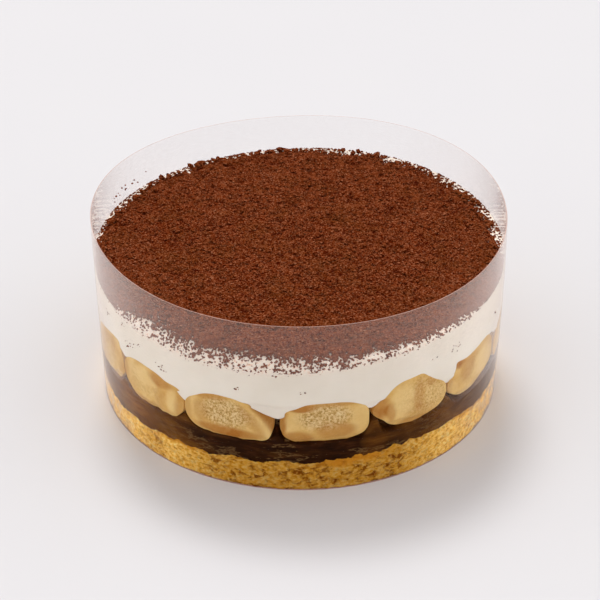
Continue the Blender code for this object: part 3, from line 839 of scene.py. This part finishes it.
banana = {
    "front": (  # azimuth and half width in degrees, low and high point, lean in degrees, squareness
        (-69.4, 13.3, 24.4, 49.6, 14, 3.6),
        (-44.5, 12.1, 26, 50.9, 0, 3),
        (-19.6, 12.7, 24.8, 51.2, 0, 2.6),
        (6.3, 11.9, 27.4, 50.9, 0, 3.2),
        (30.5, 12.2, 28.4, 56.2, 0, 2),
        (55.3, 12.2, 28.5, 52.3, 0, 2.7),
    ),
    # corners pushed out and hollows pressed in: direction and spread in degrees, share of the radius
    "pushes": {
        1: ((40, 18, 0.08), (142, 38, -0.34), (214, 32, -0.28), (318, 20, -0.1)),
        2: ((62, 24, -0.17), (214, 24, -0.15), (291, 8, -0.08), (325, 20, -0.06)),
        3: ((48, 24, -0.18), (75, 14, -0.06), (322, 14, 0.05), (136, 22, -0.07), (222, 24, -0.08)),
        4: ((128, 26, -0.15), (238, 12, 0.05)),
        5: ((143, 28, -0.19), (76, 9, 0.07), (40, 26, -0.19), (327, 24, 0.09), (218, 22, -0.15)),
        6: ((100, 18, -0.12), (125, 8, 0.12), (152, 18, -0.14), (60, 16, 0.06),
            (318, 24, -0.12), (214, 24, -0.1)),
    },
    # parts of the outer face that lie back from the film: middle and half sizes in shares, depth, slant
    "setBacks": {
        2: ((0.18, -0.4, 0.13, 0.9, 0.4), (0.95, -0.1, 0.25, 1, 0.5)),
        3: ((1.2, 0, 0.44, 2.5, 2.6, -0.31),),
        4: ((-1.05, 0.1, 0.2, 1.4, 1.2),),
        5: ((-1.05, 0.1, 0.3, 1.2, 0.45), (-0.3, -0.9, 0.4, 0.3, 0.6)),
        6: ((-1.05, -0.2, 0.3, 1.2, 0.8),),
    },
    "backCount": 8,
    "backGap": 1.9,
    "backSeed": 14,
    "backRanges": ((24, 27), (47.5, 52), (-4, 4), (2.3, 3)),  # low and high point, lean, squareness
    "depth": 11,
    "pressed": 0.32,
    "depthPower": 3,
    "lumps": 0.05,
    "skinLumps": ((0.5, 5, 9.9), (0.2, 1.8, 3.2)),
    "setBackDepth": 1.6,
    "undercut": 1.3,  # share of that depth
    "bulge": 0.9,  # it would reach this far into the wall if it didn't flatten on the film
    "intoWall": 0.15,
    "softContact": 0.7,  # it flattens over this depth
    "stepsRound": 84,
    "rows": ((4, 60, 12), (63, 100, 22), (108, 176, 8)),  # from the outer face to the back: degrees, number
}


def chunkPlaces():
    places = list(banana["front"])
    first, last, gap = places[0], places[-1], banana["backGap"]
    start = last[0] + last[1] + gap
    pitch = (360 + first[0] - first[1] - start) / banana["backCount"]
    draw = random.Random(banana["backSeed"])
    for number in range(banana["backCount"]):
        centre = start + pitch * number + (pitch - gap) / 2
        halfWidth = (pitch - gap) / 2 - draw.uniform(0, 0.7)
        places.append((centre, halfWidth, *[draw.uniform(*ends) for ends in banana["backRanges"]]))
    return places


def power(value, exponent):
    return np.sign(value) * np.abs(value) ** exponent


def oval(u, v, spot):
    # 1 in the middle of an oval, 0 outside it; spot is its middle, its half sizes, its strength and its slant
    centreU, centreV, halfU, halfV, strength, *slant = spot
    u = u - sum(slant) * v
    return strength * smooth(1 - np.hypot((u - centreU) / halfU, (v - centreV) / halfV), 0, 0.5)


# patches on the chunks' outer faces, in shares of their half width and half height. The brown patches are
# browning, and painted shade on ends and lower edges that turn away from the film; the soft ones are milky
# flesh, and painted highlight and painted film reflection.
chunkMarks = {
    1: {"core": ((0, 0, 0.8, 0.8, 0.3),), "bruise": ((0.3, 0.6, 0.5, 0.3, 0.3), (0.9, -0.4, 0.3, 0.5, 0.4))},
    2: {"core": ((-0.35, 0.15, 0.7, 0.8, 0.3),),
        "soft": ((-0.15, 0.4, 0.45, 0.6, 0.6), (0.66, -0.1, 0.2, 0.8, 0.6)),
        "bruise": ((0.35, 0.65, 0.5, 0.4, 0.7), (0.3, -0.2, 0.2, 0.8, 0.3), (0.92, -0.2, 0.25, 0.7, 0.4),
                   (-0.95, 0.2, 0.2, 0.8, 0.4), (-0.3, -0.85, 0.6, 0.3, 0.4))},
    3: {"core": ((-0.04, 0.24, 0.74, 0.8, 1),),
        "soft": ((-0.8, 0.2, 0.35, 0.7, 0.3), (0.74, -0.3, 0.18, 0.7, 0.5, -0.31)),
        "bruise": ((-0.05, -0.58, 0.9, 0.3, 0.95), (1.05, 0, 0.3, 2, 0.95, -0.31),
                   (-0.45, 0.88, 0.6, 0.25, 0.6), (-0.62, 0.1, 0.2, 0.7, 0.4),
                   (0.55, 0.1, 0.2, 0.9, 0.35, -0.31), (-0.95, 0.1, 0.15, 0.8, 0.4))},
    4: {"core": ((0, 0.3, 0.8, 0.8, 1),),
        "soft": ((0.8, 0.1, 0.3, 0.9, 0.4), (-0.75, 0, 0.25, 0.6, 0.4)),
        "bruise": ((0.25, -0.4, 0.6, 0.5, 0.6), (-0.6, -0.7, 0.5, 0.4, 0.7), (-0.55, 0.8, 0.5, 0.25, 0.8),
                   (0.3, 0.92, 0.7, 0.18, 0.5), (-0.98, 0, 0.16, 1, 0.9), (0.2, -0.95, 0.9, 0.15, 0.5))},
    5: {"core": ((0.35, 0.05, 0.9, 1, 0.55),), "soft": ((-0.22, 0.1, 0.45, 1, 0.6),),
        "bruise": ((-1, 0.05, 0.5, 0.8, 0.8), (-0.55, -0.25, 0.2, 0.6, 0.5), (0.2, 0.15, 0.2, 0.9, 0.4),
                   (0.2, -0.95, 0.6, 0.25, 0.5), (0.6, 0.6, 0.3, 0.3, 0.4), (0.2, -0.5, 0.5, 0.3, 0.25))},
    6: {"core": ((0, 0, 0.7, 0.8, 0.3),),
        "soft": ((0.4, 0, 0.6, 0.8, 0.6), (-0.8, -0.3, 0.2, 0.5, 0.4)),
        "bruise": ((-0.62, 0.85, 0.25, 0.35, 0.8), (-0.3, 0.3, 0.4, 0.8, 0.45), (-1, 0.1, 0.2, 0.8, 0.4))},
}


def marksFor(number, draw):
    if number in chunkMarks:
        return chunkMarks[number]
    cores = ((draw.uniform(-0.4, 0.4), draw.uniform(-0.2, 0.2), 0.8, 0.9, draw.uniform(0.25, 0.55)),)
    bruises = tuple((draw.uniform(-0.8, 0.8), draw.choice((-0.8, 0.8)), draw.uniform(0.3, 0.8),
                     draw.uniform(0.25, 0.45), draw.uniform(0.4, 0.9)) for _ in range(3))
    return {"core": cores, "bruise": bruises}


def buildChunks():
    draw = np.random.default_rng(5)
    rows = np.radians(np.concatenate([np.linspace(*stretch) for stretch in banana["rows"]]))
    tilt, turn = np.meshgrid(rows, around(banana["stepsRound"]), indexing="ij")
    ring, out = np.sin(tilt), np.cos(tilt)
    direction = np.stack([ring * np.cos(turn), ring * np.sin(turn), out], -1)
    flat = ring ** (2 / banana["depthPower"])
    deep = power(out, 2 / banana["depthPower"]) * banana["depth"]
    outer = smooth(out, 0, 0.3)
    front = smooth(out, -0.1, 0.3)
    cutSides = 0.8 * (1 - smooth(out, -0.2, 0.35))
    for number, (centre, halfWidth, low, high, lean, square) in enumerate(chunkPlaces(), 1):
        centre, halfWidth, lean = np.radians((centre, halfWidth, lean))
        across = flat * power(np.cos(turn), 2 / square)
        upright = flat * power(np.sin(turn), 2 / square)
        swell = 1 + banana["lumps"] * lumps(direction, 0.8, number * 3.7)
        swell = swell + humps(turn, banana["pushes"].get(number, ())) * smooth(ring)
        side = across * swell * halfWidth * film["footRadius"]
        tall = upright * swell * (high - low) / 2
        azimuth = centre + (side * math.cos(lean) - tall * math.sin(lean)) / film["footRadius"]
        height = (low + high) / 2 + (side * math.sin(lean) + tall * math.cos(lean))
        radius = wallRadius(centre, low, -film["clearance"]) - banana["depth"] * banana["pressed"] + deep
        spot = place(azimuth, radius, height)
        under = banana["undercut"] * smooth(-upright, 0.45, 1) * outer
        for part in banana["setBacks"].get(number, ()):
            under = under + oval(across, upright, part) * outer
        radius = np.minimum(radius, wallRadius(azimuth, height, banana["bulge"]))
        radius = radius - banana["setBackDepth"] * under + layered(spot, banana["skinLumps"])
        wall = wallRadius(azimuth, height, banana["intoWall"])
        gap, soft = wall - radius, banana["softContact"]
        radius = wall - soft * (0.5 * (np.clip(gap / soft, -1, 1) + 1)) ** 2 - np.maximum(gap - soft, 0)
        rings = place(azimuth, radius, height)
        points, faces = closedForm(rings, rings[[0, -1]].mean(1))
        patches = marksFor(number, draw)
        marks = {}
        for kind in ("core", "soft", "bruise"):
            shares = sum(oval(across, upright, part) for part in patches.get(kind, ()))
            marks[kind] = front * np.clip(shares, 0, 1)
        marks["bruise"] = np.maximum(marks["bruise"], cutSides)
        marks = {kind: np.append(values, values[[0, -1]].mean(1)) for kind, values in marks.items()}
        addPiece(f"bananaChunk_{number:02d}", points, faces, bananaMaterial,
                 [f"banana_{number:02d}"], marks)


buildFilm()
buildBase()
buildCaramel()
buildChunks()
buildCream()
buildCocoaMiddle()
buildCocoaFringe()
buildGrains()
buildFlakes()


# floor, light and camera

studio = {
    "floorSize": 8,  # metres
    "worldColour": (1, 0.99, 0.995, 1),
    "worldStrength": 0.52,
    "sideStrength": 1.25,  # the white walls to the left and right
    "keyStrength": 1.5,
    "keyFrom": (-0.12, 0.62, 1),
    "keySpread": 20,  # degrees: a broad soft box
}


def palePaper(tree):
    # a sheet of studio paper: matt, a pale cool grey, even but for a faint drift
    where = addNode(tree, "TexCoord").outputs["Object"]
    drift = addNode(tree, "TexNoise", {"Scale": perMm(120), "Detail": 1, "Vector": where})
    paper = addNode(tree, "ValToRGB", {"Fac": drift}, ((0, "#dad8da"), (1, "#dcdadb")))
    return addNode(tree, "BsdfPrincipled", {"Base Color": paper, "Roughness": 0.9, "Specular IOR Level": 0.1})


def buildStudio():
    print("banoffee cake: studio")
    bpy.ops.mesh.primitive_plane_add(size=studio["floorSize"])
    floor = bpy.context.object
    floor.name = "studioFloor"
    floor.data.materials.append(newMaterial("studioPaperPale", palePaper))

    world = bpy.data.worlds.new("studioWorld")
    world.use_nodes = True
    tree = world.node_tree
    tree.nodes.clear()
    towards = addNode(tree, "TexCoord").outputs["Generated"]
    sideways = addNode(tree, "SeparateXYZ", {"Vector": towards}).outputs["X"]
    square = addNode(tree, "Math", {0: sideways, 1: sideways}, operation="MULTIPLY")
    strength = addNode(tree, "Math", {0: square, 1: studio["sideStrength"], 2: studio["worldStrength"]},
                       operation="MULTIPLY_ADD")
    sky = addNode(tree, "Background", {"Color": studio["worldColour"], "Strength": strength})
    addNode(tree, "OutputWorld", {"Surface": sky})
    scene.world = world

    lamp = bpy.data.lights.new("softKey", "SUN")
    lamp.energy = studio["keyStrength"]
    lamp.angle = math.radians(studio["keySpread"])
    key = bpy.data.objects.new("softKey", lamp)
    key.rotation_euler = Vector(studio["keyFrom"]).to_track_quat("Z", "Y").to_euler()
    scene.collection.objects.link(key)


view = {
    "lens": 106.587,
    "sensor": 36,
    "eye": (-3.501, -751.585, 525.016),
    "down": 32.746,  # degrees, as the next two
    "right": 0.2636,
    "roll": 0.1407,
}


def buildCamera():
    down, right, roll = (math.radians(view[key]) for key in ("down", "right", "roll"))
    turn = Matrix.Rotation(-right, 4, "Z") @ Matrix.Rotation(math.pi / 2 - down, 4, "X")
    data = bpy.data.cameras.new("photoCamera")
    data.lens = view["lens"]
    data.sensor_width = view["sensor"]
    camera = bpy.data.objects.new("photoCamera", data)
    eye = (Vector(view["eye"]) - Vector(middle)) * mm
    camera.matrix_world = Matrix.Translation(eye) @ turn @ Matrix.Rotation(roll, 4, "Z")
    scene.collection.objects.link(camera)
    scene.camera = camera


buildStudio()
buildCamera()
scene.view_settings.view_transform = "Standard"

bpy.context.view_layer.update()
